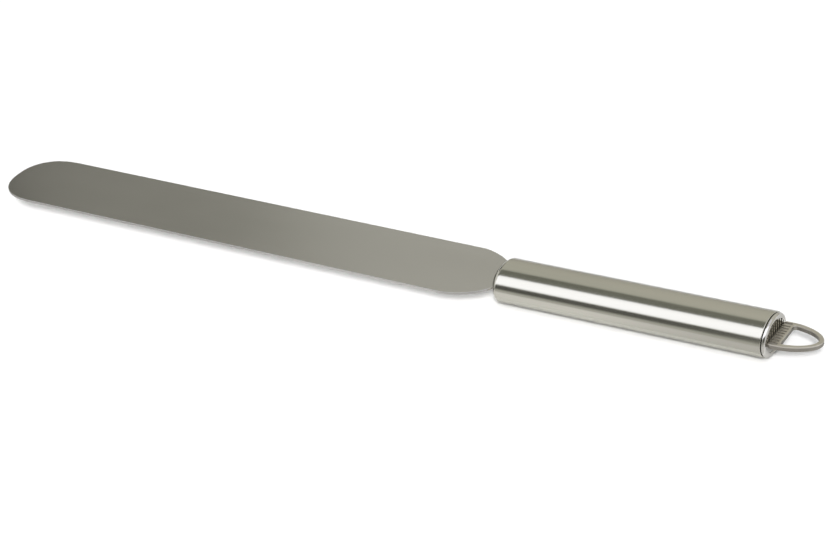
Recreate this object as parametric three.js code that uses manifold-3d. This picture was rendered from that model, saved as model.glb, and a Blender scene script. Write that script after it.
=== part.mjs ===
// Straight pastry spatula: a flat steel blade in an oval tube handle, closed at the rear by a slotted cap
// that holds a flat hanging loop. Millimetres, +Z up. The length runs along X: the blade points to -X and
// the loop to +X. The pieces are modelled with the handle's front on the origin and its axis on X, and the
// whole assembly is then moved so that it stands on Z = 0, centred on its length.
import * as THREE from 'three';
import { mergeVertices } from 'three/addons/utils/BufferGeometryUtils.js';
import Module from 'manifold-3d';

const wasm = await Module();
wasm.setup();

// Blade: its length, and the tang's, are counted from the handle's front. The lean, in degrees, is how much
// the blade rises from the handle's axis.
const BLADE_LENGTH = 254;
const BLADE_WIDTH = 37.8;
const BLADE_THICKNESS = 1;
const TIP_LENGTH = 21.8;
const TIP_POWER = 2.34;
const SHOULDER_LENGTH = 18.5;
const SHOULDER_POWER = 1.55;
const TANG_WIDTH = 15.4;
const TANG_LENGTH = 44;
const BLADE_LEAN = 0.53;

// Handle: a drawn oval tube whose front is closed by a dome.
const HANDLE_LENGTH = 122;
const HANDLE_WIDTH = 23;
const HANDLE_HEIGHT = 17;
const TUBE_WALL = 0.8;
const TUBE_EDGE_ROUND = 0.3;
const DOME_DEPTH = 5.3;
const DOME_POWER = 1.5;

// Fillers and rivets that hold the tang inside the tube.
const FILLER_LENGTH = 34;
const RIVET_DIAMETER = 3;
const RIVET_INSET = 7;

// End cap: a plug in the tube with a rounded rim that stands proud of it, round a slightly sunk oval face.
const CAP_PROUD = 1.8;
const CAP_INSET = 0.35;
const CAP_RIM_ROUND = 1.2;
const CAP_SEAM_ROUND = 0.35;
const FACE_WIDTH = 18.6;
const FACE_HEIGHT = 12;
const FACE_DEPTH = 0.4;
const SPIGOT_LENGTH = 13;
const SPIGOT_CHAMFER = 0.8;
const SLOT_DEPTH = 12;

// Hanging loop: lengths are counted outwards from the cap's rim, the pin's depth inwards, and the lift
// upwards from the handle's axis.
const LOOP_REACH = 19.6;
const LOOP_WIDTH = 18.2;
const LOOP_THICKNESS = 2;
const LOOP_LIFT = 0.5;
const LOOP_SIDE = 3;
const LOOP_POWER = 1.93;
const LOOP_ROOT_ROUND = 1;
const LOOP_RAIL = 1.9;
const LOOP_WEB = 4.6;
const HOLE_CORNER_RUN = 1.5;
const PANEL_LENGTH = 1.9;
const PANEL_DEPTH = 0.3;
const PANEL_MARGIN = 0.3;
const TONGUE_WIDTH = 17;
const TONGUE_THICKNESS = 1.4;
const PIN_DIAMETER = 2.4;
const PIN_DEPTH = 7;

// Gap between neighbouring pieces, and how far a cutting shape runs past what it cuts.
const CLEARANCE = 0.3;
const OVERCUT = 1;

// How finely round shapes are divided.
const ROUND_STEPS = 64;
const HOLE_STEPS = 20;
const CURVE_STEPS = 12;

const boreWidth = HANDLE_WIDTH - 2 * TUBE_WALL;
const boreHeight = HANDLE_HEIGHT - 2 * TUBE_WALL;
const plugWidth = boreWidth - 2 * CLEARANCE;
const plugHeight = boreHeight - 2 * CLEARANCE;
const fillerStart = DOME_DEPTH + CLEARANCE;
const rivetX = [fillerStart + RIVET_INSET, fillerStart + FILLER_LENGTH - RIVET_INSET];
const rivetHole = RIVET_DIAMETER + 2 * CLEARANCE;
const capFace = HANDLE_LENGTH + CAP_PROUD;
const slotFloor = capFace - SLOT_DEPTH;
const tongueStep = capFace + CLEARANCE;
const pinX = capFace - PIN_DEPTH;
const pinHole = PIN_DIAMETER + 2 * CLEARANCE;
const tangSlotWidth = TANG_WIDTH + 2 * CLEARANCE;
const neckX = domeX(tangSlotWidth / 2) - CLEARANCE;

const finishes = {
  satinBlade: new THREE.MeshStandardMaterial({ color: 0x8f8d86, roughness: 0.45, metalness: 1 }),
  brushedTube: new THREE.MeshStandardMaterial({ color: 0xb9b7b0, roughness: 0.3, metalness: 1 }),
  polishedCap: new THREE.MeshStandardMaterial({ color: 0xc8c7c3, roughness: 0.12, metalness: 1 }),
  castLoop: new THREE.MeshStandardMaterial({ color: 0xa8a499, roughness: 0.35, metalness: 1 }),
  plainPin: new THREE.MeshStandardMaterial({ color: 0xa9a9a6, roughness: 0.4, metalness: 1 }),
  filler: new THREE.MeshStandardMaterial({ color: 0x4a4a4c, roughness: 0.7, metalness: 0 }),
};

// Where the dome's outline, in the blade's plane, has a given half width.
function domeX(halfWidth) {
  const share = Math.pow(halfWidth / (HANDLE_WIDTH / 2), DOME_POWER);
  return DOME_DEPTH * (1 - Math.pow(1 - share, 1 / DOME_POWER));
}

// A quarter of a superellipse with half axes a and b: points from (a, 0) to (0, b).
function superQuarter(a, b, power) {
  const points = [];
  for (let step = 0; step < CURVE_STEPS; step += 1) {
    const angle = (step / CURVE_STEPS) * Math.PI / 2;
    const x = a * Math.pow(Math.cos(angle), 2 / power);
    const y = b * Math.pow(Math.sin(angle), 2 / power);
    points.push(new THREE.Vector2(x, y));
  }
  points.push(new THREE.Vector2(0, b));
  return points;
}

// A closed geometry as a solid that can be cut and joined.
function solidOf(geometry) {
  const bare = geometry.clone();
  bare.deleteAttribute('normal');
  bare.deleteAttribute('uv');
  const merged = mergeVertices(bare);
  const index = merged.index.array;
  const triangles = [];
  for (let i = 0; i < index.length; i += 3) {
    const [a, b, c] = index.slice(i, i + 3);
    if (a !== b && b !== c && c !== a) triangles.push(a, b, c);
  }
  return new wasm.Manifold(new wasm.Mesh({
    numProp: 3,
    vertProperties: new Float32Array(merged.attributes.position.array),
    triVerts: new Uint32Array(triangles),
  }));
}

function meshOf(name, solid, material) {
  const { vertProperties, triVerts } = solid.getMesh();
  const geometry = new THREE.BufferGeometry();
  geometry.setAttribute('position', new THREE.BufferAttribute(vertProperties, 3));
  geometry.setIndex(new THREE.BufferAttribute(triVerts, 1));
  geometry.computeVertexNormals();
  const mesh = new THREE.Mesh(geometry, material.clone());
  mesh.name = name;
  return mesh;
}

// A flat plate with its outline in XY, centred on Z = 0.
function plate(shape, thickness) {
  const options = { depth: thickness, bevelEnabled: false, curveSegments: CURVE_STEPS };
  const geometry = new THREE.ExtrudeGeometry(shape, options);
  geometry.translate(0, 0, -thickness / 2);
  return solidOf(geometry);
}

// A block between two X values, centred on the other axes.
function block(fromX, toX, width, height) {
  const geometry = new THREE.BoxGeometry(toX - fromX, width, height);
  geometry.translate((fromX + toX) / 2, 0, 0);
  return solidOf(geometry);
}

// An upright round pin on the handle's centre line.
function uprightPin(x, diameter, length) {
  const geometry = new THREE.CylinderGeometry(diameter / 2, diameter / 2, length, HOLE_STEPS);
  geometry.rotateX(Math.PI / 2);
  geometry.translate(x, 0, 0);
  return solidOf(geometry);
}

// A turned shape pressed to an oval: profile points are (share of the half size, place along X).
function ovalTurned(profile, width, height) {
  const points = profile.map(([share, x]) => new THREE.Vector2(share, x));
  const geometry = new THREE.LatheGeometry(points, ROUND_STEPS);
  geometry.rotateZ(-Math.PI / 2);
  geometry.scale(1, width / 2, height / 2);
  return solidOf(geometry);
}

// A rounded outer edge for such a profile, from the side to the end face at X.
function roundedEdge(endX, round, height, direction = 1) {
  const share = round / (height / 2);
  const centreX = endX - direction * round;
  return new THREE.EllipseCurve(1 - share, 0, share, round, 0, Math.PI / 2)
    .getPoints(CURVE_STEPS / 2)
    .map((p) => [p.x, centreX + direction * p.y]);
}

// The longest upright pin of a diameter that stays inside the oval plugs.
function pinLength(diameter) {
  const half = (plugHeight / 2) * Math.sqrt(1 - (diameter / plugWidth) ** 2);
  return 2 * half - CLEARANCE;
}

// Half of the blade's outline, from the tip to the end of the tang, on the +Y side.
function bladeHalf() {
  const tip = superQuarter(TIP_LENGTH, BLADE_WIDTH / 2, TIP_POWER)
    .map((p) => new THREE.Vector2(TIP_LENGTH - BLADE_LENGTH - p.x, p.y));
  const drop = (BLADE_WIDTH - TANG_WIDTH) / 2;
  const shoulder = superQuarter(SHOULDER_LENGTH, drop, SHOULDER_POWER).reverse()
    .map((p) => new THREE.Vector2(neckX - SHOULDER_LENGTH + p.x, TANG_WIDTH / 2 + p.y));
  return [...tip, ...shoulder, new THREE.Vector2(TANG_LENGTH, TANG_WIDTH / 2)];
}

// The blade's plate: the tang lies level in the handle, and the rest leans up from the handle's front.
function blade() {
  const half = bladeHalf();
  const mirrored = half.slice(1).reverse().map((p) => new THREE.Vector2(p.x, -p.y));
  const flat = plate(new THREE.Shape([...half, ...mirrored]), BLADE_THICKNESS);
  const [tang, front] = flat.splitByPlane([1, 0, 0], 0);
  const rise = Math.tan(THREE.MathUtils.degToRad(BLADE_LEAN));
  let solid = tang.add(front.transform([1, 0, -rise, 0, 0, 1, 0, 0, 0, 0, 1, 0, 0, 0, 0, 1]));
  for (const x of rivetX) {
    solid = solid.subtract(uprightPin(x, rivetHole, BLADE_THICKNESS + 2 * OVERCUT));
  }
  return meshOf('blade', solid, finishes.satinBlade);
}

// The tube: a domed oval body, hollowed to the wall from the open rear, with the tang's slot in the dome.
function handleTube() {
  const dome = (depth) => superQuarter(depth, 1, DOME_POWER).map((p) => [p.y, DOME_DEPTH - p.x]);
  const body = ovalTurned([
    ...dome(DOME_DEPTH),
    ...roundedEdge(HANDLE_LENGTH, TUBE_EDGE_ROUND, HANDLE_HEIGHT),
    [0, HANDLE_LENGTH],
  ], HANDLE_WIDTH, HANDLE_HEIGHT);
  const bore = ovalTurned([
    ...dome(DOME_DEPTH - TUBE_WALL),
    [1, HANDLE_LENGTH + OVERCUT],
    [0, HANDLE_LENGTH + OVERCUT],
  ], boreWidth, boreHeight);
  const slot = block(-OVERCUT, DOME_DEPTH, tangSlotWidth, BLADE_THICKNESS + 2 * CLEARANCE);
  return meshOf('handle_tube', body.subtract(bore).subtract(slot), finishes.brushedTube);
}

// Half-oval piece that fills the tube's front on one side of the tang, +1 above it and -1 below.
function tangFiller(name, side) {
  const start = Math.asin(BLADE_THICKNESS / plugHeight);
  const outline = new THREE.Shape();
  outline.absellipse(0, 0, plugWidth / 2, plugHeight / 2, start, Math.PI - start, false);
  outline.closePath();
  const options = { depth: FILLER_LENGTH, bevelEnabled: false, curveSegments: ROUND_STEPS / 4 };
  const geometry = new THREE.ExtrudeGeometry(outline, options);
  geometry.applyMatrix4(new THREE.Matrix4().makeBasis(
    new THREE.Vector3(0, 1, 0), new THREE.Vector3(0, 0, 1), new THREE.Vector3(1, 0, 0),
  ));
  if (side < 0) geometry.rotateX(Math.PI);
  geometry.translate(fillerStart, 0, 0);
  let solid = solidOf(geometry);
  for (const x of rivetX) solid = solid.subtract(uprightPin(x, rivetHole, HANDLE_HEIGHT));
  return meshOf(name, solid, finishes.filler);
}

function tangRivet(name, x) {
  return meshOf(name, uprightPin(x, RIVET_DIAMETER, pinLength(RIVET_DIAMETER)), finishes.plainPin);
}

// The plug: a chamfered spigot in the tube, then the rim round the sunk face, with the loop's slot across it.
function endCap() {
  const seat = HANDLE_LENGTH + CLEARANCE;
  const inner = HANDLE_LENGTH - SPIGOT_LENGTH;
  const capWidth = HANDLE_WIDTH - 2 * CAP_INSET;
  const capHeight = HANDLE_HEIGHT - 2 * CAP_INSET;
  const spigot = ovalTurned([
    [0, inner],
    [1 - SPIGOT_CHAMFER / (plugHeight / 2), inner],
    [1, inner + SPIGOT_CHAMFER],
    [1, (seat + capFace) / 2],
    [0, (seat + capFace) / 2],
  ], plugWidth, plugHeight);
  const flange = ovalTurned([
    [0, seat],
    ...roundedEdge(seat, CAP_SEAM_ROUND, capHeight, -1).reverse(),
    ...roundedEdge(capFace, CAP_RIM_ROUND, capHeight),
    [0, capFace],
  ], capWidth, capHeight);
  const face = ovalTurned([
    [0, capFace - FACE_DEPTH],
    [1, capFace - FACE_DEPTH],
    [1, capFace + OVERCUT],
    [0, capFace + OVERCUT],
  ], FACE_WIDTH, FACE_HEIGHT);
  const slotWidth = TONGUE_WIDTH + 2 * CLEARANCE;
  const slot = block(slotFloor, capFace + OVERCUT, slotWidth, TONGUE_THICKNESS + 2 * CLEARANCE)
    .translate([0, 0, LOOP_LIFT]);
  const solid = spigot.add(flange).subtract(face).subtract(slot)
    .subtract(uprightPin(pinX, pinHole, HANDLE_HEIGHT));
  return meshOf('end_cap', solid, finishes.polishedCap);
}

// Half width of the loop's outline at a place along X, drawn in by an inset.
function loopHalfWidth(x, inset) {
  const share = Math.max(0, (x - capFace - LOOP_SIDE) / (LOOP_REACH - LOOP_SIDE - inset));
  return (LOOP_WIDTH / 2 - inset) * Math.pow(1 - Math.pow(share, LOOP_POWER), 1 / LOOP_POWER);
}

// The loop's rounded end, drawn in by an inset and cut off at X: points from the -Y side round to the +Y side.
function loopEnd(inset, fromX) {
  const half = superQuarter(LOOP_REACH - LOOP_SIDE - inset, LOOP_WIDTH / 2 - inset, LOOP_POWER)
    .map((p) => new THREE.Vector2(capFace + LOOP_SIDE + p.x, p.y))
    .filter((p) => p.x > fromX);
  const mirrored = half.slice(1).reverse().map((p) => new THREE.Vector2(p.x, -p.y));
  return [...mirrored, ...half];
}

function hangingLoop() {
  const half = LOOP_WIDTH / 2;
  const sideStart = tongueStep + LOOP_ROOT_ROUND;
  const outer = new THREE.Shape();
  outer.moveTo(tongueStep, LOOP_ROOT_ROUND - half);
  outer.quadraticCurveTo(tongueStep, -half, sideStart, -half);
  for (const p of loopEnd(0, sideStart)) outer.lineTo(p.x, p.y);
  outer.lineTo(sideStart, half);
  outer.quadraticCurveTo(tongueStep, half, tongueStep, half - LOOP_ROOT_ROUND);
  outer.closePath();

  const webEnd = capFace + LOOP_WEB;
  const cornerY = loopHalfWidth(webEnd, LOOP_RAIL);
  const bendX = webEnd + HOLE_CORNER_RUN;
  const bendY = loopHalfWidth(bendX, LOOP_RAIL);
  const hole = new THREE.Path();
  hole.moveTo(webEnd, HOLE_CORNER_RUN - cornerY);
  hole.quadraticCurveTo(webEnd, -cornerY, bendX, -bendY);
  for (const p of loopEnd(LOOP_RAIL, bendX)) hole.lineTo(p.x, p.y);
  hole.lineTo(bendX, bendY);
  hole.quadraticCurveTo(webEnd, cornerY, webEnd, cornerY - HOLE_CORNER_RUN);
  hole.closePath();
  outer.holes.push(hole);

  // The thinner tongue runs half way into the web, and a shallow bare panel is sunk in the web's top face.
  const tongue = block(slotFloor + CLEARANCE, (tongueStep + webEnd) / 2, TONGUE_WIDTH, TONGUE_THICKNESS);
  const panelStart = tongueStep + PANEL_MARGIN;
  const panel = block(panelStart, panelStart + PANEL_LENGTH, TONGUE_WIDTH - 2 * PANEL_MARGIN, 2 * PANEL_DEPTH)
    .translate([0, 0, LOOP_THICKNESS / 2]);
  const solid = plate(outer, LOOP_THICKNESS).add(tongue).subtract(panel)
    .subtract(uprightPin(pinX, pinHole, TONGUE_THICKNESS + 2 * OVERCUT))
    .translate([0, 0, LOOP_LIFT]);
  return meshOf('hanging_loop', solid, finishes.castLoop);
}

function loopPin() {
  return meshOf('loop_pin', uprightPin(pinX, PIN_DIAMETER, pinLength(PIN_DIAMETER)), finishes.plainPin);
}

const spatula = new THREE.Group();
spatula.add(
  blade(),
  handleTube(),
  tangFiller('tang_filler_upper', 1),
  tangFiller('tang_filler_lower', -1),
  tangRivet('tang_rivet_front', rivetX[0]),
  tangRivet('tang_rivet_rear', rivetX[1]),
  endCap(),
  hangingLoop(),
  loopPin(),
);
const bounds = new THREE.Box3().setFromObject(spatula);
spatula.position.set(-(bounds.min.x + bounds.max.x) / 2, 0, -bounds.min.z);

export default spatula;
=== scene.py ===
"""Straight pastry spatula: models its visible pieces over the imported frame, finishes and lights them."""
from math import cos, pi, radians, sin

import bmesh
import bpy
from bpy.props import FloatProperty, FloatVectorProperty, IntProperty, PointerProperty
from mathutils import Matrix, Vector
from mathutils.geometry import interpolate_bezier


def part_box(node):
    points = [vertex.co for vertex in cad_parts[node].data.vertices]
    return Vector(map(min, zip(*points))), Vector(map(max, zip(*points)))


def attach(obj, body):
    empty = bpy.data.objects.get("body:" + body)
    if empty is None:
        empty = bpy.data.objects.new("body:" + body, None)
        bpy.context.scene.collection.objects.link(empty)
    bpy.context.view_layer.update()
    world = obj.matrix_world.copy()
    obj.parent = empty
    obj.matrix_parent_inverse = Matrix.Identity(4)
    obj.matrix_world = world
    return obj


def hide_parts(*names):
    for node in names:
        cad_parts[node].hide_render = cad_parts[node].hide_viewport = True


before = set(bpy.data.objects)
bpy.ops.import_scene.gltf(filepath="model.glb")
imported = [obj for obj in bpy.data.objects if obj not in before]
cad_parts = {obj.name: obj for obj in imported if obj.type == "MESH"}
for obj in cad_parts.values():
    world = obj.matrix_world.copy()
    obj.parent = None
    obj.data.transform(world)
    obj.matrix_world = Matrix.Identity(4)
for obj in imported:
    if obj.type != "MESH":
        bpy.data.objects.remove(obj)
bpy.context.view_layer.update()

bl_info = {
    "name": "Straight Spatula",
    "version": (1, 0, 0),
    "blender": (4, 5, 0),
    "location": "3D View > Sidebar > Spatula",
    "description": "Models a straight pastry spatula over its packed frame, finishes it and lights it",
    "category": "Object",
}

BLADE_LOW, BLADE_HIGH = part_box("blade")
TUBE_LOW, TUBE_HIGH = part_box("handle_tube")
CAP_LOW, CAP_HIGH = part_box("end_cap")
LOOP_LOW, LOOP_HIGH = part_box("hanging_loop")

# The tang's slot takes the point off the dome, so the handle's length is given and not read from its box.
TUBE_LENGTH = 0.122
# The pieces are modelled with the point of the handle's dome on the origin, and then moved here.
HANDLE_FRONT = Vector((TUBE_HIGH.x - TUBE_LENGTH, 0, (TUBE_LOW.z + TUBE_HIGH.z) / 2))
BLADE_LENGTH = HANDLE_FRONT.x - BLADE_LOW.x
TANG_LENGTH = BLADE_HIGH.x - HANDLE_FRONT.x
BLADE_WIDTH = BLADE_HIGH.y - BLADE_LOW.y
BLADE_THICKNESS = 2 * (HANDLE_FRONT.z - BLADE_LOW.z)
BLADE_SLOPE = (BLADE_HIGH.z - BLADE_LOW.z - BLADE_THICKNESS) / BLADE_LENGTH
TUBE_WIDTH = TUBE_HIGH.y - TUBE_LOW.y
TUBE_HEIGHT = TUBE_HIGH.z - TUBE_LOW.z
CAP_WIDTH = CAP_HIGH.y - CAP_LOW.y
CAP_HEIGHT = CAP_HIGH.z - CAP_LOW.z
CAP_FACE = CAP_HIGH.x - HANDLE_FRONT.x
CAP_INNER = CAP_LOW.x - HANDLE_FRONT.x
LOOP_END = LOOP_HIGH.x - HANDLE_FRONT.x
LOOP_INNER = LOOP_LOW.x - HANDLE_FRONT.x
LOOP_WIDTH = LOOP_HIGH.y - LOOP_LOW.y
LOOP_THICKNESS = LOOP_HIGH.z - LOOP_LOW.z
LOOP_LIFT = (LOOP_LOW.z + LOOP_HIGH.z) / 2 - HANDLE_FRONT.z
RIVET_BOXES = [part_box("tang_rivet_front"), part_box("tang_rivet_rear")]

CURVE_STEPS = 28  # points along a quarter of an outline
ROUND_STEPS = 160  # sides of a turned piece
EDGE_STEPS = 10  # points along the rounded edge of a turned piece
BEND_STEPS = 12  # points along a rounded corner
HOLE_STEPS = 16  # sides of half a rivet hole
BEVEL_STEPS = 5  # rows of faces along the rounded edge of a plate
BEND_PULL = 2 / 3  # how far the handles of a rounded corner reach towards the corner
MERGE = 1e-7  # points nearer than this become one
ON_PLANE = 1e-6  # the most that a face on a plane lies off it
HAIR = 0.0001  # a small step that keeps neighbouring points apart
DOME_RUN = 0.0005  # a short straight run behind the dome, which keeps its shading clean
SQUARE = 0.999  # a face is square to an axis when its normal reaches this far along it
PLATE_CORNER = radians(60)  # the edges of a plate that turn more than this are rounded
SHARP_EDGE = radians(40)  # edges that turn more than this are shaded sharp

EVEN = 0.5  # the mean of a noise
EDGE_TINT = (0.62, 0.62, 0.62, 1)  # reflections at a glancing angle

# Directions from the object towards its lamps, and their distance.
KEY_FROM, TOP_FROM, LAMP_DISTANCE = Vector((0.386, -0.683, 0.621)), Vector((0.2, -0.42, 0.9)), 1.5

# The cards stand or lie, and some are turned about Z.
LYING, STANDING, CARD_TURN = 0, pi / 2, radians(20)
TABLE_CARD_LIFT = 0.0005
# Places along the back card where a grey gives way to the next, from its far end to behind the handle.
BACK_STEPS = ((-1.75, -1.5), (-1.16, -1.02), (-0.79, -0.65), (-0.6, -0.35))
BACK_HEIGHTS = (0.8, 1.2)
# The front card has a lighter middle, between two places along it, and a lighter foot.
FRONT_START, FRONT_END, FRONT_FOOT = (-0.5, -0.3), (0.35, 0.55), (0, 0.42)
# The table card is lighter near the handle, less so towards the cap.
TABLE_ALONG, TABLE_ACROSS = (0.085, 0.165), (-0.058, -0.034)
TABLE_BRIGHT, TABLE_DIM = (1.08, 1.07, 1.06, 1), (0.84, 0.83, 0.82, 1)
PANEL_CLOTH = ((0.9, 0.905, 0.985, 1), (0.92, 0.925, 1, 1))
SIDE_LIGHT = 0.5  # brightness of the side light as a share of the light panel's

CAMERA_TURN, CAMERA_RISE, CAMERA_ROLL = radians(33.88584), radians(30.28882), radians(-6.81902)
CAMERA_AIM = HANDLE_FRONT + Vector((-0.0316087, -0.01213, 0.0002901))
CAMERA_DISTANCE = 0.9821
SENSOR_WIDTH = 36
FOCAL_PIXELS, PICTURE_PIXELS = 2361.5, 833


def length(name, description, millimetres):
    """A length, with its default in millimetres."""
    return FloatProperty(name=name, description=description, default=millimetres / 1000, min=0,
                         precision=5, unit="LENGTH", subtype="DISTANCE")


def number(name, description, default):
    """A plain number."""
    return FloatProperty(name=name, description=description, default=default, min=0)


def angle(name, description, degrees):
    """An angle, with its default in degrees."""
    return FloatProperty(name=name, description=description, default=radians(degrees), min=0,
                         unit="ROTATION", subtype="ANGLE")


def share(name, description, default):
    """A number from 0 to 1."""
    return FloatProperty(name=name, description=description, default=default, min=0, max=1, subtype="FACTOR")


def colour(name, description, default):
    """A colour."""
    return FloatVectorProperty(name=name, description=description, default=default, min=0, max=1,
                               subtype="COLOR")


class SpatulaSizes(bpy.types.PropertyGroup):
    """Small sizes that the frame's boxes don't give"""
    tip_length: length("Tip length", "Length of the blade's rounded tip", 21.8)
    tip_power: number("Tip fullness", "Power of the tip's curve: 2 is an ellipse", 2.34)
    shoulder_length: length("Shoulder length", "Length of the curve from the blade's edge to the tang", 18.5)
    shoulder_power: number("Shoulder fullness", "Power of the shoulder's curve: 2 is an ellipse", 1.55)
    tang_width: length("Tang width", "Width of the blade where it enters the handle", 15.4)
    blade_round: length("Blade edge rounding", "Radius of the blade's edges", 0.22)
    gap: length("Gap", "Gap between neighbouring pieces", 0.3)
    seam_gap: length("Seam gap", "Gap between the tube and the cap", 0.2)
    tang_gap: length("Tang gap", "Gap round the tang in the handle's front", 0.03)
    dome_depth: length("Dome depth", "Depth of the handle's domed front", 5.3)
    dome_power: number("Dome fullness", "Power of the dome's curve: 2 is an ellipse", 1.5)
    tube_wall: length("Tube wall", "Thickness of the handle's tube", 0.8)
    tube_round: length("Tube edge rounding", "Radius of the tube's rear edge", 0.3)
    rim_round: length("Rim rounding", "Radius of the cap's outer rim", 1.2)
    seam_round: length("Seam rounding", "Radius of the cap's edge at the seam", 0.35)
    spigot_chamfer: length("Spigot chamfer", "Chamfer on the cap's inner end", 0.8)
    slot_depth: length("Slot depth", "Depth of the loop's slot in the cap", 12)
    face_width: length("Face width", "Width of the cap's sunk oval face", 18.6)
    face_height: length("Face height", "Height of the cap's sunk oval face", 12)
    face_depth: length("Face depth", "Depth of the cap's sunk oval face", 0.4)
    face_round: length("Face rounding", "Radius of the edge round the cap's sunk face", 0.18)
    tongue_width: length("Tongue width", "Width of the loop's tongue in the slot", 17)
    tongue_thickness: length("Tongue thickness", "Thickness of the loop's tongue", 1.4)
    loop_side: length("Loop side", "Length of the loop's straight sides from the cap", 3)
    loop_power: number("Loop fullness", "Power of the curve of the loop's end: 2 is an ellipse", 1.93)
    root_round: length("Root rounding", "Radius of the loop's corners at the cap", 1)
    rail: length("Loop rail", "Width of the loop's rails", 1.9)
    web: length("Loop web", "Distance from the cap to the loop's hole", 4.6)
    hole_run: length("Hole corner run", "Length of the curve in the hole's corners", 1.5)
    loop_round: length("Loop edge rounding", "Radius of the loop's edges", 0.25)
    panel_length: length("Panel length", "Length of the panel in the loop's web", 3.2)
    panel_depth: length("Panel depth", "Depth of the panel in the loop's web", 0.3)
    panel_margin: length("Panel margin", "Plain border round the panel", 0.3)
    rib_width: length("Rib width", "Width of the plain ribs", 0.85)
    rib_height: length("Rib height", "Height of the ribs on the cap's face", 0.25)
    rib_count: IntProperty(name="Ribs", description="How many plain ribs cross the panel and the cap's face",
                           default=8, min=1)


class SpatulaFinishes(bpy.types.PropertyGroup):
    """Colours and polish of the finishes"""
    blade_colour: colour("Blade", "Satin steel of the blade", (0.472, 0.465, 0.447))
    blade_roughness: share("Blade roughness", "Mean roughness of the blade", 0.22)
    tube_colour: colour("Handle", "Brushed steel of the handle", (0.495, 0.487, 0.435))
    tube_roughness: share("Handle roughness", "Mean roughness of the handle", 0.16)
    cap_colour: colour("Cap", "Polished steel of the end cap", (0.56, 0.55, 0.52))
    cap_roughness: share("Cap roughness", "Mean roughness of the cap", 0.1)
    loop_colour: colour("Loop", "Cast steel of the hanging loop", (0.5, 0.475, 0.42))
    loop_roughness: share("Loop roughness", "Mean roughness of the loop", 0.3)
    patina_colour: colour("Patina", "Darkened steel on the cap's sunk face", (0.2, 0.19, 0.155))
    panel_colour: colour("Panel", "Darkened steel in the loop's panel", (0.4, 0.378, 0.33))
    pin_colour: colour("Pins", "Plain steel of the rivets and the pin", (0.5, 0.5, 0.49))
    filler_colour: colour("Fillers", "Moulded pieces round the tang", (0.07, 0.07, 0.072))


class SpatulaStudio(bpy.types.PropertyGroup):
    """Floor and light"""
    floor_colour: colour("Floor", "Colour of the floor", (0.9, 0.9, 0.9))
    floor_lift: share("Floor lift", "Light that the floor itself adds to white", 0.04)
    ambient: share("Ambient", "Even light from all round", 0.1)
    key_strength: number("Key strength", "Strength of the low lamp on the camera's side", 3.15)
    key_spread: angle("Key spread", "Width of the low lamp", 14)
    top_strength: number("Top strength", "Strength of the soft lamp above", 1.42)
    top_spread: angle("Top spread", "Width of the soft lamp above", 40)
    back_light: colour("Back", "Grey of the back card behind the handle", (0.745, 0.73, 0.655))
    back_mid: colour("Back, middle", "Grey of the back card by the handle's front", (0.71, 0.705, 0.635))
    back_dim: colour("Back, blade side", "Grey of the back card behind the blade", (0.425, 0.42, 0.37))
    back_dark: colour("Back, tip side", "Grey of the back card at the blade's tip", (0.03, 0.03, 0.03))
    top_grey: colour("Top card", "Grey of the card above the handle", (0.23, 0.235, 0.2))
    front_grey: colour("Front card", "Grey of the card behind the camera", (0.12, 0.12, 0.11))
    front_low: colour("Front card, foot", "Grey of the foot of the card behind the camera", (0.5, 0.5, 0.46))
    table_grey: colour("Table card", "Grey of the card on the floor before the handle", (0.66, 0.66, 0.62))
    panel_light: number("Light panel", "Brightness of the long light panel", 2.14)


class Wire:
    """A value in a node tree. Arithmetic on it adds Math nodes."""

    def __init__(self, sheet, socket):
        self.sheet = sheet
        self.socket = socket

    def math(self, operation, *terms):
        return self.sheet.node("ShaderNodeMath", {"operation": operation}, dict(enumerate(terms)))

    def __add__(self, other):
        return self.math("ADD", self, other)

    def __radd__(self, other):
        return self.math("ADD", other, self)

    def __sub__(self, other):
        return self.math("SUBTRACT", self, other)

    def __rsub__(self, other):
        return self.math("SUBTRACT", other, self)

    def __mul__(self, other):
        return self.math("MULTIPLY", self, other)

    def __rmul__(self, other):
        return self.math("MULTIPLY", other, self)

    def __abs__(self):
        return self.math("ABSOLUTE", self)


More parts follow.
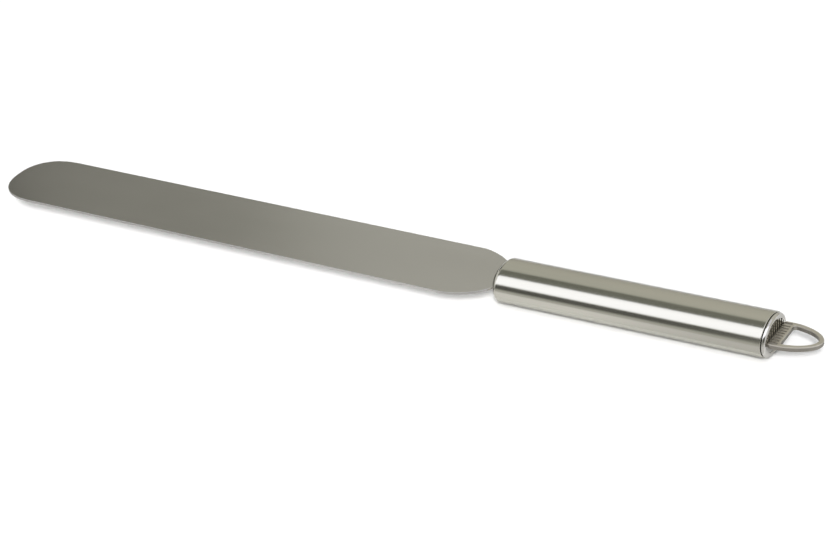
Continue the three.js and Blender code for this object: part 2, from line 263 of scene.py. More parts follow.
class Sheet:
    """The node tree of a material or world, emptied and ready for new nodes."""

    def __init__(self, owner):
        owner.use_nodes = True
        self.tree = owner.node_tree
        self.tree.nodes.clear()

    def node(self, kind, settings=None, sockets=None, output=0):
        """Adds a node, with its settings and the values or links of its sockets, and gives one output."""
        made = self.tree.nodes.new(kind)
        for name, value in (settings or {}).items():
            setattr(made, name, value)
        for name, value in (sockets or {}).items():
            if isinstance(value, Wire):
                self.tree.links.new(value.socket, made.inputs[name])
            else:
                made.inputs[name].default_value = value
        return Wire(self, made.outputs[output]) if made.outputs else None

    def place(self):
        """The place on the piece, in metres."""
        return self.node("ShaderNodeTexCoord", output="Object")

    def part(self, vector, axis):
        return self.node("ShaderNodeSeparateXYZ", None, {"Vector": vector}, axis)

    def noise(self, vector, cells, detail=2.0, roughness=0.5):
        """Noise with so many cells to the metre along X, Y and Z."""
        stretched = self.node("ShaderNodeMapping", None, {"Vector": vector, "Scale": cells})
        return self.node("ShaderNodeTexNoise", None,
                         {"Vector": stretched, "Scale": 1.0, "Detail": detail, "Roughness": roughness})

    def step(self, value, low, high):
        """0 below low, 1 above high and smooth between them."""
        return self.node("ShaderNodeMapRange", {"interpolation_type": "SMOOTHSTEP"},
                         {"Value": value, "From Min": low, "From Max": high})

    def blend(self, factor, first, second):
        return self.node("ShaderNodeMix", {"data_type": "RGBA"}, {0: factor, 6: first, 7: second}, 2)

    def bump(self, height, distance, strength):
        return self.node("ShaderNodeBump", None,
                         {"Height": height, "Distance": distance, "Strength": strength})

    def surface(self, colour, roughness, normal, metallic=1.0):
        shader = self.node("ShaderNodeBsdfPrincipled", None, {
            "Base Color": colour, "Roughness": roughness, "Normal": normal, "Metallic": metallic,
            "Specular Tint": EDGE_TINT})
        self.node("ShaderNodeOutputMaterial", None, {"Surface": shader})

    def seen(self):
        """1 for rays from the camera and from mirror-like or clear surfaces, 0 for the rest."""
        path = self.tree.nodes.new("ShaderNodeLightPath")
        kinds = ("Is Camera Ray", "Is Glossy Ray", "Is Transmission Ray")
        camera, glossy, clear = (Wire(self, path.outputs[kind]) for kind in kinds)
        return camera.math("MAXIMUM", camera.math("MAXIMUM", camera, glossy), clear)


def shade(rgb, factor):
    """A colour made darker or lighter, for a socket."""
    return (*(min(1.0, channel * factor) for channel in rgb), 1.0)


def brushed_steel(name, rgb, roughness, grain_length, contrast, painted_edge_shade=None, painted_highlight_end=None):
    """Steel with a fine grain along X, faint clouds and a slightly uneven polish.

    The function given for the edges gives, from the sheet and the place, how much painted shade darkens the
    steel there.
    The pair of places along X, when given, bounds where a painted highlight on the front end, a lighter
    colour standing in for brighter reflections, fades out."""
    material = bpy.data.materials.new(name)
    sheet = Sheet(material)
    place = sheet.place()
    lines = sheet.noise(place, (1 / grain_length, 900, 900), 4.0, 0.6)
    hairs = sheet.noise(place, (3 / grain_length, 4200, 4200))
    clouds = sheet.noise(place, (14, 40, 40))
    grain = 0.55 * lines + 0.45 * hairs
    tone = EVEN + contrast * (grain - EVEN) + contrast * (clouds - EVEN)
    if painted_edge_shade:
        # Painted shade: the edge walls get a darker colour where their reflections should look dim.
        tone = tone - 0.9 * painted_edge_shade(sheet, place)
    metal = sheet.blend(tone, shade(rgb, 0.75), shade(rgb, 1.25))
    # Painted highlight: a lighter colour near the front end stands in for brighter reflections there.
    if painted_highlight_end:
        metal = sheet.blend(sheet.step(sheet.part(place, 0), *painted_highlight_end), shade(rgb, 1.9), metal)
    sheet.surface(metal, roughness + 0.12 * (grain - EVEN) + 0.08 * (clouds - EVEN),
                  sheet.bump(grain, 0.00001, 0.25))
    return material


def polished_steel(name, rgb, dark_rgb, roughness, face_floor, sizes):
    """Bright steel with faint wiping marks and tiny scratches.

    In the upper half of the sunk face the floor is dull and dark, and the tops of the ribs are lighter."""
    material = bpy.data.materials.new(name)
    sheet = Sheet(material)
    place = sheet.place()
    wipes = sheet.noise(place, (120, 160, 160), 3.0, 0.6)
    scratches = sheet.step(sheet.noise(place, (400, 2600, 900)), 0.62, 0.7)
    along, across = sheet.part(place, 0), sheet.part(place, 1)
    height = sheet.part(place, 2) - HANDLE_FRONT.z
    wide, high = across * (2 / sizes.face_width), height * (2 / sizes.face_height)
    inside = 1 - sheet.step(wide * wide + high * high, 0.97, 1.0)
    inside = inside * sheet.step(along, face_floor - 0.003, face_floor - 0.002)
    inside = inside * sheet.step(height, 0, LOOP_LIFT)
    low = 1 - sheet.step(along, face_floor + 0.00006, face_floor + 0.0002)
    metal = sheet.blend(wipes, shade(rgb, 0.93), shade(rgb, 1.07))
    sheet.surface(
        sheet.blend(inside, metal, sheet.blend(low, shade(rgb, 1.5), (*dark_rgb, 1.0))),
        roughness + 0.08 * (wipes - EVEN) + 0.06 * scratches + 0.3 * inside * low,
        sheet.bump(wipes, 0.000006, 0.2))
    return material


def cast_steel(name, rgb, dark_rgb, roughness, panel, half_length, half_width):
    """Cast and tumbled steel, with painted shade on its walls, and dull on the floor of the panel.

    The panel is given by its middle and half sizes."""
    material = bpy.data.materials.new(name)
    sheet = Sheet(material)
    place = sheet.place()
    pits = sheet.noise(place, (1500, 1500, 1500), 3.0, 0.6)
    clouds = sheet.noise(place, (160, 160, 160), 3.0, 0.55)
    off = [abs(sheet.part(place, axis) - panel[axis]) for axis in range(3)]
    dark = 1 - sheet.step(off[0], half_length, half_length + HAIR)
    dark = dark * (1 - sheet.step(off[1], half_width, half_width + HAIR))
    dark = dark * (1 - sheet.step(off[2], 0.00008, 0.00022))
    # Painted shade: the loop's walls below its top get a darker colour, standing in for their dim
    # reflections.
    walls = 1 - sheet.step(sheet.part(place, 2), LOOP_HIGH.z - 0.0006, LOOP_HIGH.z - 0.0002)
    tone = 0.71 + 0.31 * (clouds - EVEN) + 0.22 * (pits - EVEN) - 0.65 * walls
    metal = sheet.blend(tone, shade(rgb, 0.5), shade(rgb, 1.2))
    sheet.surface(
        sheet.blend(dark, metal, (*dark_rgb, 1.0)),
        roughness + 0.14 * (clouds - EVEN) + 0.25 * dark,
        sheet.bump(pits, 0.00002, 0.3))
    return material


def moulded_filler(name, rgb):
    """Matt moulded plastic with a fine spark-eroded grain."""
    material = bpy.data.materials.new(name)
    sheet = Sheet(material)
    place = sheet.place()
    grain = sheet.noise(place, (1800, 1800, 1800))
    clouds = sheet.noise(place, (90, 90, 90))
    sheet.surface(
        sheet.blend(clouds, shade(rgb, 0.85), shade(rgb, 1.15)),
        0.62 + 0.16 * (grain - EVEN), sheet.bump(grain, 0.00003, 0.4), metallic=0.0)
    return material


def super_quarter(reach, half, power):
    """Points of a quarter superellipse, from (reach, 0) to (0, half)."""
    angles = [pi / 2 * step / CURVE_STEPS for step in range(CURVE_STEPS)]
    points = [(reach * cos(a) ** (2 / power), half * sin(a) ** (2 / power)) for a in angles]
    return points + [(0.0, half)]


def super_half(x, reach, half, power):
    """Half width of a superellipse at a distance from its middle."""
    return half * (1 - (max(0, x) / reach) ** power) ** (1 / power)


def half_circle(centre_x, radius):
    """Points of a half circle about a place on the X axis, from its far end to its near end."""
    angles = [pi * step / HOLE_STEPS for step in range(HOLE_STEPS + 1)]
    return [(centre_x + radius * cos(a), radius * sin(a)) for a in angles]


def bend(start, corner, end):
    """Points of a rounded corner from start to end."""
    start, corner, end = (Vector((*point, 0)) for point in (start, corner, end))
    pulls = [point.lerp(corner, BEND_PULL) for point in (start, end)]
    points = interpolate_bezier(start, *pulls, end, BEND_STEPS)
    return [(point.x, point.y) for point in points]


def grow(bm, faces, move):
    """Extrudes faces by a move."""
    grown = bmesh.ops.extrude_face_region(bm, geom=faces)["geom"]
    bmesh.ops.translate(bm, vec=move, verts=[v for v in grown if isinstance(v, bmesh.types.BMVert)])


def half_plate(bm, outline, thickness, edge_round):
    """A plate from its outline on the +Y side: filled, mirrored, thickened and rounded along its edges."""
    verts = [bm.verts.new((x, y, -thickness / 2)) for x, y in outline]
    bm.faces.new(verts)
    bmesh.ops.remove_doubles(bm, verts=bm.verts, dist=MERGE)
    bmesh.ops.mirror(bm, geom=bm.verts[:] + bm.edges[:] + bm.faces[:], axis="Y", merge_dist=MERGE)
    bmesh.ops.recalc_face_normals(bm, faces=bm.faces)
    grow(bm, bm.faces[:], (0, 0, thickness))
    bmesh.ops.recalc_face_normals(bm, faces=bm.faces)
    corners = [e for e in bm.edges if e.calc_face_angle(0) > PLATE_CORNER]
    bmesh.ops.bevel(bm, geom=corners, offset=edge_round, offset_type="OFFSET", affect="EDGES",
                    segments=BEVEL_STEPS, profile=0.5, material=-1, clamp_overlap=True)
    bm.normal_update()


def oval_turned(bm, profile):
    """A profile of (radius, place along X) turned round the X axis."""
    verts = [bm.verts.new((x, 0, radius)) for radius, x in profile]
    edges = [bm.edges.new(pair) for pair in zip(verts, verts[1:])]
    bmesh.ops.spin(bm, geom=verts + edges, cent=(0, 0, 0), axis=(1, 0, 0), dvec=(0, 0, 0),
                   angle=2 * pi, steps=ROUND_STEPS, use_merge=True)
    bmesh.ops.remove_doubles(bm, verts=bm.verts, dist=MERGE)
    bmesh.ops.recalc_face_normals(bm, faces=bm.faces)


def rounded(end_x, radius, height, direction=1):
    """Profile points of a rounded edge, from the side to the end face, which looks along +X or -X."""
    angles = [pi / 2 * step / EDGE_STEPS for step in range(EDGE_STEPS + 1)]
    return [(height / 2 - radius * (1 - cos(a)), end_x - direction * radius * (1 - sin(a))) for a in angles]


def cut(bm, faces, point, normal):
    """Splits faces along a plane."""
    geom = set(faces)
    for face in faces:
        geom.update(face.edges)
        geom.update(face.verts)
    bmesh.ops.bisect_plane(bm, geom=list(geom), dist=MERGE, plane_co=point, plane_no=normal)
    bm.normal_update()


def sink(bm, faces, move):
    """Pushes faces into the piece or out of it, with walls round them and nothing left behind."""
    grow(bm, faces, move)
    bmesh.ops.delete(bm, geom=[f for f in faces if f.is_valid], context="FACES")


def rib_lines(sizes, half):
    """Middles of evenly spaced ribs over a width, and the lines of their sides."""
    pitch = 2 * half / (sizes.rib_count + 1)
    ribs = [(k + 1) * pitch - half for k in range(sizes.rib_count)]
    return ribs, [rib + side * sizes.rib_width / 2 for rib in ribs for side in (-1, 1)]


def add_object(context, bm, name, material):
    """Makes an object of the mesh, with one material."""
    mesh = bpy.data.meshes.new(name)
    bm.to_mesh(mesh)
    bm.free()
    mesh.materials.append(material)
    made = bpy.data.objects.new(name, mesh)
    context.scene.collection.objects.link(made)
    return made


def finish_piece(context, bm, name, node, material):
    """Moves a piece to its place in the frame, makes an object of it and lets it stand for its node."""
    bmesh.ops.translate(bm, vec=HANDLE_FRONT, verts=bm.verts)
    piece = add_object(context, bm, name, material)
    piece.data.shade_smooth()
    piece.data.set_sharp_from_angle(angle=SHARP_EDGE)
    even = piece.modifiers.new("even_shading", "WEIGHTED_NORMAL")
    even.keep_sharp = True
    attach(piece, "root")
    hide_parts(node)


class SPATULA_OT_blade(bpy.types.Operator):
    """Model the flat blade with its rounded tip, its shoulders and its tang"""
    bl_idname = "spatula.blade"
    bl_label = "Blade"
    bl_options = {"REGISTER", "UNDO"}

    def execute(self, context):
        sizes, finishes = context.scene.spatula_sizes, context.scene.spatula_finishes
        tip = [(sizes.tip_length - BLADE_LENGTH - x, y)
               for x, y in super_quarter(sizes.tip_length, BLADE_WIDTH / 2, sizes.tip_power)]
        half_slot = sizes.tang_width / 2 + sizes.gap
        neck = sizes.dome_depth - super_half(half_slot, TUBE_WIDTH / 2, sizes.dome_depth, sizes.dome_power)
        neck -= sizes.gap
        drop = (BLADE_WIDTH - sizes.tang_width) / 2
        shoulder = [(neck - sizes.shoulder_length + x, sizes.tang_width / 2 + y)
                    for x, y in reversed(super_quarter(sizes.shoulder_length, drop, sizes.shoulder_power))]
        outline = tip + shoulder + [(TANG_LENGTH, sizes.tang_width / 2), (TANG_LENGTH, 0)]
        for low, high in reversed(RIVET_BOXES):
            middle = (low.x + high.x) / 2 - HANDLE_FRONT.x
            outline += half_circle(middle, (high.x - low.x) / 2 + sizes.gap)
        bm = bmesh.new()
        half_plate(bm, outline, BLADE_THICKNESS, sizes.blade_round)
        cut(bm, bm.faces[:], (0, 0, 0), (1, 0, 0))
        lean = Matrix.Identity(4)
        lean[2][0] = -BLADE_SLOPE
        bmesh.ops.transform(bm, matrix=lean, verts=[v for v in bm.verts if v.co.x < 0])

        def painted_edge_shade(sheet, place):
            """Painted shade: the blade's edge walls are darkened by the neck and towards the tip, where their
            reflections should look dim.
            """
            along = HANDLE_FRONT.x - sheet.part(place, 0)
            depth = HANDLE_FRONT.z + BLADE_THICKNESS / 2 + BLADE_SLOPE * along - sheet.part(place, 2)
            wall = sheet.step(depth, 0.1 * BLADE_THICKNESS, 0.25 * BLADE_THICKNESS)
            wall = wall * (1 - sheet.step(depth, 0.85 * BLADE_THICKNESS, 0.95 * BLADE_THICKNESS))
            neck_end = 1 - sheet.step(along, 0.01 * BLADE_LENGTH, 0.1 * BLADE_LENGTH)
            tip_end = sheet.step(along, 0.3 * BLADE_LENGTH, 0.6 * BLADE_LENGTH)
            return wall * (neck_end + tip_end)

        steel = brushed_steel("satin_blade_steel", finishes.blade_colour, finishes.blade_roughness,
                              grain_length=0.05, contrast=0.22, painted_edge_shade=painted_edge_shade)
        finish_piece(context, bm, "blade_sheet", "blade", steel)
        return {"FINISHED"}


class SPATULA_OT_handle_tube(bpy.types.Operator):
    """Model the oval tube handle with its domed front and the tang's slot"""
    bl_idname = "spatula.handle_tube"
    bl_label = "Handle tube"
    bl_options = {"REGISTER", "UNDO"}

    def execute(self, context):
        sizes, finishes = context.scene.spatula_sizes, context.scene.spatula_finishes
        half, depth = TUBE_HEIGHT / 2, sizes.dome_depth
        profile = [(y, depth - x) for x, y in super_quarter(depth, half, sizes.dome_power)]
        profile += [(half, depth + DOME_RUN), (half, TUBE_LENGTH / 2)]
        profile += rounded(TUBE_LENGTH, sizes.tube_round, TUBE_HEIGHT)
        bm = bmesh.new()
        oval_turned(bm, profile)
        bmesh.ops.scale(bm, vec=(1, TUBE_WIDTH / TUBE_HEIGHT, 1), verts=bm.verts)
        bm.normal_update()
        half_wide = sizes.tang_width / 2 + sizes.tang_gap
        half_high = BLADE_THICKNESS / 2 + sizes.tang_gap
        for point, normal in (((0, half_wide, 0), (0, 1, 0)), ((0, -half_wide, 0), (0, 1, 0)),
                              ((0, 0, half_high), (0, 0, 1)), ((0, 0, -half_high), (0, 0, 1))):
            cut(bm, [f for f in bm.faces if f.calc_center_median().x < depth], point, normal)
        slot = []
        for face in bm.faces:
            middle = face.calc_center_median()
            if middle.x < depth and abs(middle.y) < half_wide and abs(middle.z) < half_high:
                slot.append(face)
        if not slot:
            raise RuntimeError("the tang's slot cuts nothing out of the dome")
        bmesh.ops.delete(bm, geom=slot, context="FACES")
        bmesh.ops.solidify(bm, geom=bm.faces[:], thickness=sizes.tube_wall)
        # Painted highlight: the dome's front gets a lighter colour, standing in for brighter reflections
        # there.
        painted_highlight_end = (HANDLE_FRONT.x + 0.6 * depth, HANDLE_FRONT.x + depth)
        steel = brushed_steel("brushed_handle_steel", finishes.tube_colour, finishes.tube_roughness,
                              grain_length=0.08, contrast=0.2, painted_highlight_end=painted_highlight_end)
        finish_piece(context, bm, "handle_shell", "handle_tube", steel)
        return {"FINISHED"}


class SPATULA_OT_end_cap(bpy.types.Operator):
    """Model the end cap with its rounded rim, its sunk ribbed face, its spigot and the loop's slot"""
    bl_idname = "spatula.end_cap"
    bl_label = "End cap"
    bl_options = {"REGISTER", "UNDO"}

    def execute(self, context):
        sizes, finishes = context.scene.spatula_sizes, context.scene.spatula_finishes
        seat = TUBE_LENGTH + sizes.seam_gap
        floor = CAP_FACE - sizes.face_depth
        plug_width = TUBE_WIDTH - 2 * (sizes.tube_wall + sizes.gap)
        plug_height = TUBE_HEIGHT - 2 * (sizes.tube_wall + sizes.gap)
        half, chamfer = plug_height / 2, sizes.spigot_chamfer
        spigot = [(0, CAP_INNER), (half - chamfer, CAP_INNER),
                  (half, CAP_INNER + chamfer), (half, seat - HAIR)]
        flange = rounded(seat, sizes.seam_round, CAP_HEIGHT, -1)[::-1]
        flange += rounded(CAP_FACE, sizes.rim_round, CAP_HEIGHT)
        edge = sizes.face_height + 2 * sizes.face_round
        recess = rounded(CAP_FACE, sizes.face_round, edge)
        recess = [(edge - radius, x) for radius, x in reversed(recess)]
        bm = bmesh.new()
        oval_turned(bm, spigot + flange + recess + [(sizes.face_height / 2, floor), (0, floor)])
        # The spigot, the sunk face and the rest each get their own oval.
        ratios = ((plug_width / plug_height, lambda v, r: v.co.x < seat - HAIR / 2),
                  (sizes.face_width / sizes.face_height,
                   lambda v, r: v.co.x > seat + 5 * HAIR and r < edge / 2 + HAIR / 10),
                  (CAP_WIDTH / CAP_HEIGHT, lambda v, r: True))
        rest = {v: Vector((v.co.y, v.co.z)).length for v in bm.verts}
        for ratio, belongs in ratios:
            group = [v for v, radius in rest.items() if belongs(v, radius)]
            bmesh.ops.scale(bm, vec=(1, ratio, 1), verts=group)
            for vert in group:
                del rest[vert]
        bm.normal_update()

        def face_floor():
            return [f for f in bm.faces
                    if f.normal.x > SQUARE and abs(f.calc_center_median().x - floor) < ON_PLANE]

        bmesh.ops.dissolve_faces(bm, faces=face_floor(), use_verts=True)
        bm.normal_update()
        half_wide = sizes.tongue_width / 2 + sizes.gap
        half_high = sizes.tongue_thickness / 2 + sizes.gap
        ribs, lines = rib_lines(sizes, sizes.face_width / 2)
        for y in (half_wide, -half_wide, *lines):
            cut(bm, face_floor(), (0, y, 0), (0, 1, 0))
        for z in (LOOP_LIFT + half_high, LOOP_LIFT - half_high):
            cut(bm, face_floor(), (0, 0, z), (0, 0, 1))
        slot, tops = [], []
        for face in face_floor():
            middle = face.calc_center_median()
            if abs(middle.y) < half_wide and abs(middle.z - LOOP_LIFT) < half_high:
                slot.append(face)
            elif middle.z > LOOP_LIFT and any(abs(middle.y - rib) < sizes.rib_width / 2 for rib in ribs):
                tops.append(face)
        if not slot:
            raise RuntimeError("the loop's slot cuts nothing out of the cap")
        sink(bm, slot, (-sizes.slot_depth, 0, 0))
        sink(bm, tops, (sizes.rib_height, 0, 0))
        steel = polished_steel("polished_cap_steel", finishes.cap_colour, finishes.patina_colour,
                               finishes.cap_roughness, HANDLE_FRONT.x + floor, sizes)
        finish_piece(context, bm, "cap_plug", "end_cap", steel)
        return {"FINISHED"}


class SPATULA_OT_hanging_loop(bpy.types.Operator):
    """Model the flat hanging loop with its hole, its tongue and a plain ribbed panel"""
    bl_idname = "spatula.hanging_loop"
    bl_label = "Hanging loop"
    bl_options = {"REGISTER", "UNDO"}

    def execute(self, context):
        sizes, finishes = context.scene.spatula_sizes, context.scene.spatula_finishes
        step, web_x, half = CAP_FACE + sizes.gap, CAP_FACE + sizes.web, LOOP_WIDTH / 2
        start = CAP_FACE + sizes.loop_side
        reach = LOOP_END - start
        inner = (reach - sizes.rail, half - sizes.rail, sizes.loop_power)
        bend_x = web_x + sizes.hole_run
        bend_y = super_half(bend_x - start, *inner)
        corner_y = super_half(web_x - start, *inner)
        outline = [(step, 0)]
        outline += bend((step, half - sizes.root_round), (step, half), (step + sizes.root_round, half))
        outline += [(start + x, y) for x, y in reversed(super_quarter(reach, half, sizes.loop_power))]
        outline += [(start + x, y) for x, y in super_quarter(*inner) if start + x > bend_x + HAIR]
        outline += bend((bend_x, bend_y), (web_x, corner_y), (web_x, corner_y - sizes.hole_run))
        outline += [(web_x, 0)]
        bm = bmesh.new()
        half_plate(bm, outline, LOOP_THICKNESS, sizes.loop_round)

        first = step + sizes.panel_margin
        last = first + sizes.panel_length
        half_panel = sizes.tongue_width / 2 - sizes.panel_margin
        top = LOOP_THICKNESS / 2

        def top_faces():
            return [f for f in bm.faces
                    if f.normal.z > SQUARE and f.calc_center_median().z > top - ON_PLANE]

        ribs, lines = rib_lines(sizes, half_panel)
        for x in (first, last):
            cut(bm, top_faces(), (x, 0, 0), (1, 0, 0))
        for y in (half_panel, -half_panel, *lines):
            cut(bm, top_faces(), (0, y, 0), (0, 1, 0))
        low = []
        for face in top_faces():
            middle = face.calc_center_median()
            on_rib = any(abs(middle.y - rib) < sizes.rib_width / 2 for rib in ribs)
            if first < middle.x < last and abs(middle.y) < half_panel and not on_rib:
                low.append(face)
        if not low:
            raise RuntimeError("the panel cuts nothing out of the loop's web")
        sink(bm, low, (0, 0, -sizes.panel_depth))

        tongue = bmesh.ops.create_cube(bm, size=1)["verts"]
        outer = step + sizes.panel_margin / 2
        tongue_size = (outer - LOOP_INNER, sizes.tongue_width, sizes.tongue_thickness)
        bmesh.ops.scale(bm, vec=tongue_size, verts=tongue)
        bmesh.ops.translate(bm, vec=((LOOP_INNER + outer) / 2, 0, 0), verts=tongue)
        bmesh.ops.translate(bm, vec=(0, 0, LOOP_LIFT), verts=bm.verts)
        middle = HANDLE_FRONT + Vector(((first + last) / 2, 0, LOOP_LIFT + top - sizes.panel_depth))
        steel = cast_steel("cast_loop_steel", finishes.loop_colour, finishes.panel_colour,
                           finishes.loop_roughness, middle, sizes.panel_length / 2, half_panel)
        finish_piece(context, bm, "loop_plate", "hanging_loop", steel)
        return {"FINISHED"}


class SPATULA_OT_hidden_parts(bpy.types.Operator):
    """Finish the fillers, the rivets and the loop's pin, which sit inside the handle"""
    bl_idname = "spatula.hidden_parts"
    bl_label = "Hidden parts"
    bl_options = {"REGISTER", "UNDO"}

    def execute(self, context):
        finishes = context.scene.spatula_finishes
        plain = brushed_steel("plain_pin_steel", finishes.pin_colour,
                              roughness=0.4, grain_length=0.02, contrast=0.3)
        filler = moulded_filler("moulded_filler", finishes.filler_colour)
        finish_of = {
            "tang_filler_upper": filler, "tang_filler_lower": filler,
            "tang_rivet_front": plain, "tang_rivet_rear": plain, "loop_pin": plain,
        }
        for node, material in finish_of.items():
            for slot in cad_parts[node].material_slots:
                slot.material = material
        return {"FINISHED"}


def card(context, name, size, place, tilt, turn, paper):
    """A stiff sheet that only shows in reflections. Its long side lies along X before the turn about Z."""
    bm = bmesh.new()
    bmesh.ops.create_grid(bm, x_segments=1, y_segments=1, size=0.5)
    bmesh.ops.scale(bm, vec=(*size, 1), verts=bm.verts)
    bmesh.ops.rotate(bm, cent=(0, 0, 0), matrix=Matrix.Rotation(tilt, 3, "X"), verts=bm.verts)
    bmesh.ops.translate(bm, vec=place, verts=bm.verts)
    bmesh.ops.rotate(bm, cent=(0, 0, 0), matrix=Matrix.Rotation(turn, 3, "Z"), verts=bm.verts)
    bmesh.ops.translate(bm, vec=HANDLE_FRONT, verts=bm.verts)
    sheet = add_object(context, bm, name, paper)
    sheet.visible_camera = False
    sheet.visible_diffuse = False
    sheet.visible_shadow = False
    sheet.visible_transmission = False


def card_paper(name, tone, strength):
    """Card paper that glows in a tone, which is made by a function of the sheet and the place."""
    material = bpy.data.materials.new(name)
    sheet = Sheet(material)
    glow = sheet.node("ShaderNodeEmission", None, {"Color": tone(sheet, sheet.place()), "Strength": strength})
    sheet.node("ShaderNodeOutputMaterial", None, {"Surface": glow})
    return material


class SPATULA_OT_studio(bpy.types.Operator):
    """Set up the floor, the light and the camera"""
    bl_idname = "spatula.studio"
    bl_label = "Studio"
    bl_options = {"REGISTER", "UNDO"}

    def execute(self, context):
        scene, studio = context.scene, context.scene.spatula_studio
        self.floor(context, studio)
        self.surroundings(scene, studio)
        self.lamps(scene, studio)
        self.cards(context, studio)
        self.camera(scene)
        scene.view_settings.view_transform = "Standard"
        return {"FINISHED"}

    def lamps(self, scene, studio):
        """A low lamp on the camera's side and a soft one above, which only the thick pieces shade."""
        self.lamp(scene, "low_key", KEY_FROM, studio.key_strength, studio.key_spread)
        top = self.lamp(scene, "soft_top", TOP_FROM, studio.top_strength, studio.top_spread)
        thick = bpy.data.collections.new("thick_pieces")
        for name in ("handle_shell", "cap_plug"):
            thick.objects.link(bpy.data.objects[name])
        top.light_linking.blocker_collection = thick

    def lamp(self, scene, name, towards, strength, spread):
        """A lamp that doesn't show in reflections."""
        sun = bpy.data.lights.new(name, "SUN")
        sun.energy = strength
        sun.angle = spread
        lamp = bpy.data.objects.new(name, sun)
        scene.collection.objects.link(lamp)
        towards = towards.normalized()
        lamp.location = HANDLE_FRONT + LAMP_DISTANCE * towards
        lamp.rotation_euler = towards.to_track_quat("Z", "Y").to_euler()
        lamp.visible_glossy = False
        return lamp

    def cards(self, context, studio):
        """The grey cards and the light panels that the steel mirrors."""
        def back_tone(sheet, place):
            along, height = sheet.part(place, 0), sheet.part(place, 2)
            to_dark, to_dim, to_mid, to_light = (sheet.step(along, *ends) for ends in BACK_STEPS)
            upper = sheet.blend(to_light, (*studio.back_mid, 1), (*studio.back_light, 1))
            tone = sheet.blend(to_dark, (*studio.back_mid, 1), (*studio.back_dark, 1))
            tone = sheet.blend(to_dim, tone, (*studio.back_dim, 1))
            tone = sheet.blend(to_mid, tone, upper)
            return sheet.blend(sheet.step(height, *BACK_HEIGHTS), tone, upper)

        def front_tone(sheet, place):
            along, height = sheet.part(place, 0), sheet.part(place, 2)
            middle = sheet.step(along, *FRONT_START) * (1 - sheet.step(along, *FRONT_END))
            grey = sheet.blend(middle, (*studio.front_grey, 1), (*studio.front_low, 1))
            return sheet.blend(sheet.step(height, *FRONT_FOOT), (*studio.front_low, 1), grey)

        def table_tone(sheet, place):
            along, across = sheet.part(place, 0), sheet.part(place, 1)
            near = sheet.blend(sheet.step(along, *TABLE_ALONG), TABLE_BRIGHT, TABLE_DIM)
            return sheet.blend(sheet.step(across, *TABLE_ACROSS), (*studio.table_grey, 1), near)

        def top_tone(sheet, place):
            grain = sheet.noise(place, (8, 8, 8))
            return sheet.blend(grain, shade(studio.top_grey, 0.97), shade(studio.top_grey, 1.03))

        def panel_tone(sheet, place):
            grain = sheet.noise(place, (3, 3, 3))
            return sheet.blend(grain, *PANEL_CLOTH)

        bright = studio.panel_light
        table_z = TABLE_CARD_LIFT - HANDLE_FRONT.z
        # Each card's name, size, place, tilt and turn, and its paper's tone and strength.
        for name, size, place, tilt, turn, tone, strength in (
                ("back_card", (5, 2.4), (-0.5, 0.9, 1.19), STANDING, 0, back_tone, 1),
                ("top_card", (2.4, 0.49), (-1.15, 0.277, 1), LYING, CARD_TURN, top_tone, 1),
                ("side_light", (1, 0.9), (0.65, 0.3, 1), LYING, CARD_TURN, panel_tone, SIDE_LIGHT * bright),
                ("light_panel", (4, 0.985), (-0.6, -0.4625, 1), LYING, CARD_TURN, panel_tone, bright),
                ("table_card", (5, 1.4), (-0.5, -0.712, table_z), LYING, 0, table_tone, 1),
                ("front_card", (5, 1.2), (-0.5, -1.35, 0.592), STANDING, CARD_TURN, front_tone, 1)):
            card(context, name, size, place, tilt, turn, card_paper(name + "_paper", tone, strength))

    def floor(self, context, studio):
        """White paper under the object, lifted to full white where it is seen."""
        bm = bmesh.new()
        bmesh.ops.create_grid(bm, x_segments=1, y_segments=1, size=5)
        material = bpy.data.materials.new("floor_paper")
        sheet = Sheet(material)
        fibre = sheet.noise(sheet.place(), (60, 60, 60))
        white = sheet.blend(fibre, shade(studio.floor_colour, 0.995), shade(studio.floor_colour, 1.005))
        paper = sheet.node("ShaderNodeBsdfDiffuse", None, {"Color": white})
        glow = sheet.node("ShaderNodeEmission", None, {"Strength": studio.floor_lift * sheet.seen()})
        both = sheet.node("ShaderNodeAddShader", None, {0: paper, 1: glow})
        sheet.node("ShaderNodeOutputMaterial", None, {"Surface": both})
        floor = add_object(context, bm, "studio_floor", material)

    def surroundings(self, scene, studio):
        """White where the camera and the steel see it, and only a little light on the object."""
        world = bpy.data.worlds.new("white_surroundings")
        scene.world = world
        sheet = Sheet(world)
        dim = sheet.node("ShaderNodeBackground", None, {"Color": (1, 1, 1, 1), "Strength": studio.ambient})
        white = sheet.node("ShaderNodeBackground", None, {"Color": (1, 1, 1, 1), "Strength": 1.0})
        both = sheet.node("ShaderNodeMixShader", None, {0: sheet.seen(), 1: dim, 2: white})
        sheet.node("ShaderNodeOutputWorld", None, {"Surface": both})

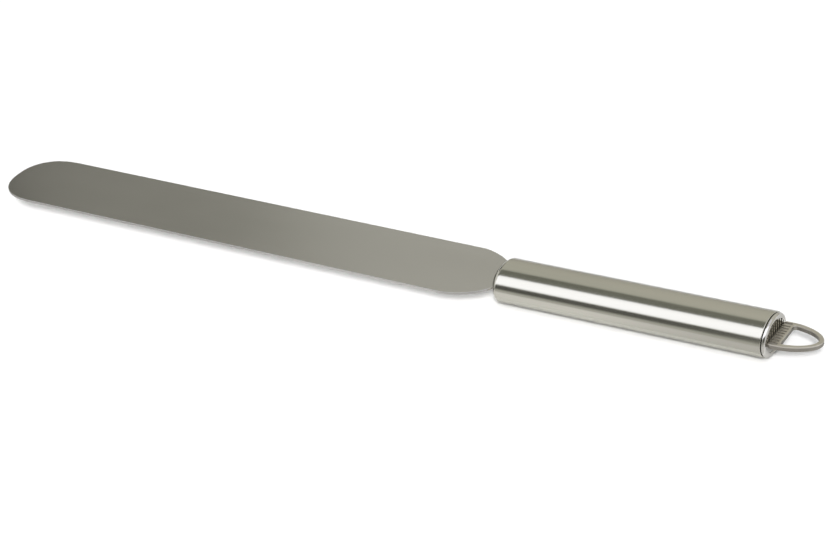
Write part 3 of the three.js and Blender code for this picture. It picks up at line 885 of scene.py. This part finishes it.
    def camera(self, scene):
        """The camera, turned about Z, raised and rolled round the place that it looks at."""
        turn, rise, roll = CAMERA_TURN, CAMERA_RISE, CAMERA_ROLL
        back = Vector((sin(turn) * cos(rise), -cos(turn) * cos(rise), sin(rise)))
        level = Vector((cos(turn), sin(turn), 0))
        upright = back.cross(level)
        right = cos(roll) * level + sin(roll) * upright
        up = cos(roll) * upright - sin(roll) * level
        place = CAMERA_AIM + CAMERA_DISTANCE * back
        lens = bpy.data.cameras.new("camera")
        lens.sensor_fit = "HORIZONTAL"
        lens.sensor_width = SENSOR_WIDTH
        lens.lens = FOCAL_PIXELS * SENSOR_WIDTH / PICTURE_PIXELS
        lens.clip_start = 0.01
        camera = bpy.data.objects.new("camera", lens)
        scene.collection.objects.link(camera)
        camera.matrix_world = Matrix((
            (right.x, up.x, back.x, place.x),
            (right.y, up.y, back.y, place.y),
            (right.z, up.z, back.z, place.z),
            (0, 0, 0, 1)))
        scene.camera = camera


OPERATORS = (
    SPATULA_OT_blade, SPATULA_OT_handle_tube, SPATULA_OT_end_cap, SPATULA_OT_hanging_loop,
    SPATULA_OT_hidden_parts, SPATULA_OT_studio,
)


class SPATULA_PT_panel(bpy.types.Panel):
    """Lists the spatula's pieces, sizes, finishes and studio"""
    bl_idname = "SPATULA_PT_panel"
    bl_label = "Straight Spatula"
    bl_space_type = "VIEW_3D"
    bl_region_type = "UI"
    bl_category = "Spatula"

    def draw(self, context):
        for operator in OPERATORS:
            self.layout.operator(operator.bl_idname)
        for group in ("spatula_sizes", "spatula_finishes", "spatula_studio"):
            values = getattr(context.scene, group)
            column = self.layout.box().column()
            for name in values.__annotations__:
                column.prop(values, name)


CLASSES = (SpatulaSizes, SpatulaFinishes, SpatulaStudio, *OPERATORS, SPATULA_PT_panel)


def register():
    for cls in CLASSES:
        bpy.utils.register_class(cls)
    bpy.types.Scene.spatula_sizes = PointerProperty(type=SpatulaSizes)
    bpy.types.Scene.spatula_finishes = PointerProperty(type=SpatulaFinishes)
    bpy.types.Scene.spatula_studio = PointerProperty(type=SpatulaStudio)


def unregister():
    del bpy.types.Scene.spatula_studio
    del bpy.types.Scene.spatula_finishes
    del bpy.types.Scene.spatula_sizes
    for cls in reversed(CLASSES):
        bpy.utils.unregister_class(cls)


def main():
    register()
    bpy.ops.spatula.blade()
    bpy.ops.spatula.handle_tube()
    bpy.ops.spatula.end_cap()
    bpy.ops.spatula.hanging_loop()
    bpy.ops.spatula.hidden_parts()
    bpy.ops.spatula.studio()


if __name__ == "__main__":
    main()
